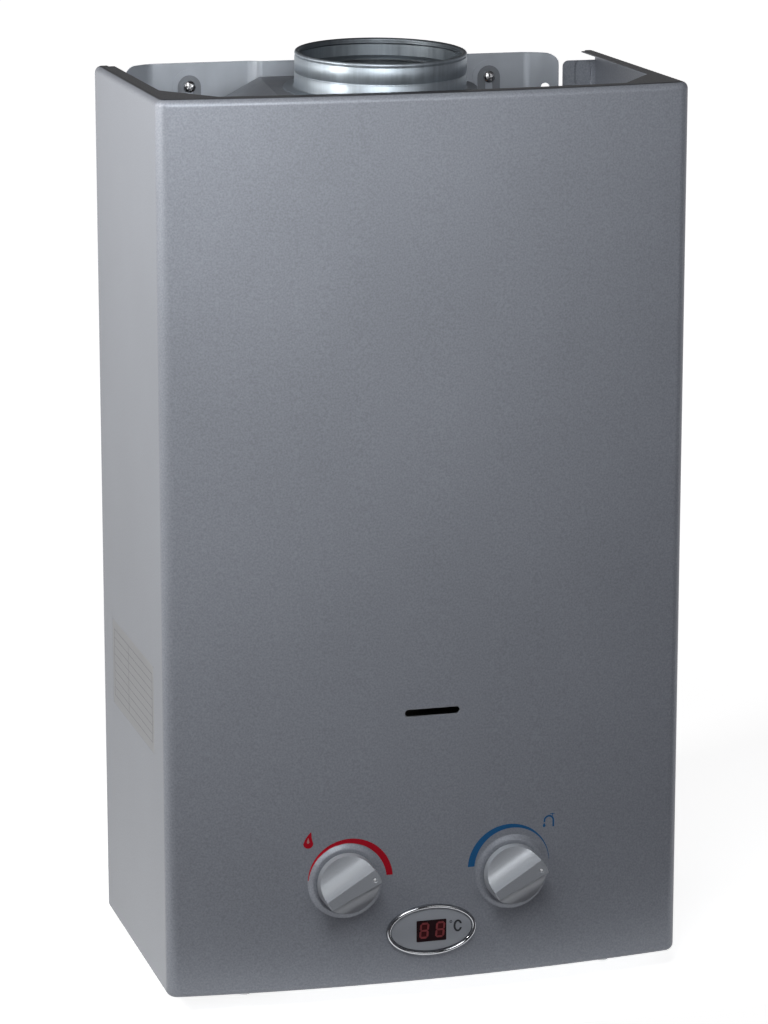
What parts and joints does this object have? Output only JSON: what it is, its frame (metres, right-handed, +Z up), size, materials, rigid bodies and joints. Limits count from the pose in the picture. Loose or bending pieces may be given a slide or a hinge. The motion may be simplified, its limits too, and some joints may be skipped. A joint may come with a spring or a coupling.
{
  "type": "wall-hung gas water heater",
  "caption": "Wall-hung flued gas water heater with a bowed metal casing, round top flue collar, two control knobs and a small oval temperature display.",
  "frame": {"origin": "on the wall plane, midway between the two hanging keyholes", "axes": "+X to the right, +Z up, +Y into the wall; the front faces -Y"},
  "size_m": [0.34, 0.2174, 0.5983],
  "materials": {
    "casing": "silver-grey coated sheet steel, satin",
    "zinc": "bright galvanised sheet steel",
    "flue": "drawn galvanised sheet",
    "copper": "tinned copper",
    "brass": "machined brass",
    "die_cast": "die-cast aluminium",
    "steel": "bright steel",
    "stainless": "heat-tinted stainless sheet",
    "knob_plastic": "silver-grey moulded plastic",
    "bezel_chrome": "bright plated plastic",
    "face_plastic": "grey printed film on plastic",
    "window_plastic": "dark red tinted lens",
    "board": "circuit board",
    "black_plastic": "black moulded plastic",
    "white_plastic": "white moulded plastic",
    "ceramic": "glazed ceramic",
    "glass": "clear heat-proof pane",
    "membrane_rubber": "black rubber",
    "cell": "plain cell jacket"
  },
  "bodies": {
    "root": {"front_cover": "casing", "back_plate": "zinc", "bottom_tray": "zinc", "draft_hood": "zinc", "flue_collar": "flue", "hood_baffle": "zinc", "hood_screws": "steel", "flue_sensor": "black_plastic", "exchanger_shell": "copper", "exchanger_tube": "copper", "fin_pack": "copper", "overheat_switch": "black_plastic", "chamber_shell": "copper", "sight_window": "glass", "chamber_coil": "copper", "hot_pipe": "copper", "temperature_probe": "brass", "burner_frame": "stainless", "burner_blades": "stainless", "gas_manifold": "die_cast", "injectors": "brass", "gas_riser": "die_cast", "spark_electrode": "ceramic", "flame_rod": "ceramic", "core_brackets": "zinc", "gas_valve_body": "die_cast", "solenoid_body": "black_plastic", "valve_spring": "steel", "membrane_cover": "brass", "membrane": "membrane_rubber", "water_valve_body": "brass", "membrane_screws": "steel", "spindle_glands": "brass", "drain_plug": "black_plastic", "gas_inlet": "brass", "cold_inlet": "brass", "hot_outlet": "brass", "inlet_filter": "steel", "valve_bracket": "zinc", "switch_body": "black_plastic", "igniter_box": "white_plastic", "battery_box": "black_plastic", "batteries": "cell", "battery_contacts": "steel", "display_bezel": "bezel_chrome", "display_face": "face_plastic", "display_window": "window_plastic", "display_board": "board", "casing_screws": "steel"},
    "gas_knob": {"gas_knob": "knob_plastic", "gas_spindle": "brass"},
    "water_knob": {"water_knob": "knob_plastic", "water_spindle": "brass"},
    "push_rod": {"push_rod": "steel", "gas_valve_disc": "membrane_rubber"},
    "plunger": {"solenoid_plunger": "steel"},
    "switch_lever": {"switch_lever": "steel"},
    "battery_lid": {"battery_lid": "black_plastic"}
  },
  "joints": [
    {"name": "gas_knob_turn", "type": "hinge", "parent": "root", "child": "gas_knob", "pos_m": [-0.0566, -0.203, -0.4278], "axis": [0, -1, 0], "range_deg": [-20, 150]},
    {"name": "water_knob_turn", "type": "hinge", "parent": "root", "child": "water_knob", "pos_m": [0.0534, -0.203, -0.4312], "axis": [0, -1, 0], "range_deg": [-20, 150]},
    {"name": "push_rod_slide", "type": "slide", "parent": "root", "child": "push_rod", "axis": [-1, 0, 0], "range_m": [0, 0.0035], "stiffness_N_per_m": 500, "deforming": ["valve_spring"]},
    {"name": "switch_lever_tilt", "type": "hinge", "parent": "root", "child": "switch_lever", "pos_m": [-0.014, -0.151, -0.3977], "axis": [0, 0, 1], "range_deg": [0, 7.2]},
    {"name": "plunger_slide", "type": "slide", "parent": "root", "child": "plunger", "axis": [-1, 0, 0], "range_m": [0, 0.0025], "stiffness_N_per_m": 300},
    {"name": "battery_lid_swing", "type": "hinge", "parent": "root", "child": "battery_lid", "pos_m": [-0.155, -0.144, -0.5026], "axis": [0, 1, 0], "range_deg": [0, 95]}
  ],
  "couplings": [
    {"joint": "switch_lever_tilt", "follows": "push_rod_slide", "rad_per_m": 34.907}
  ]
}
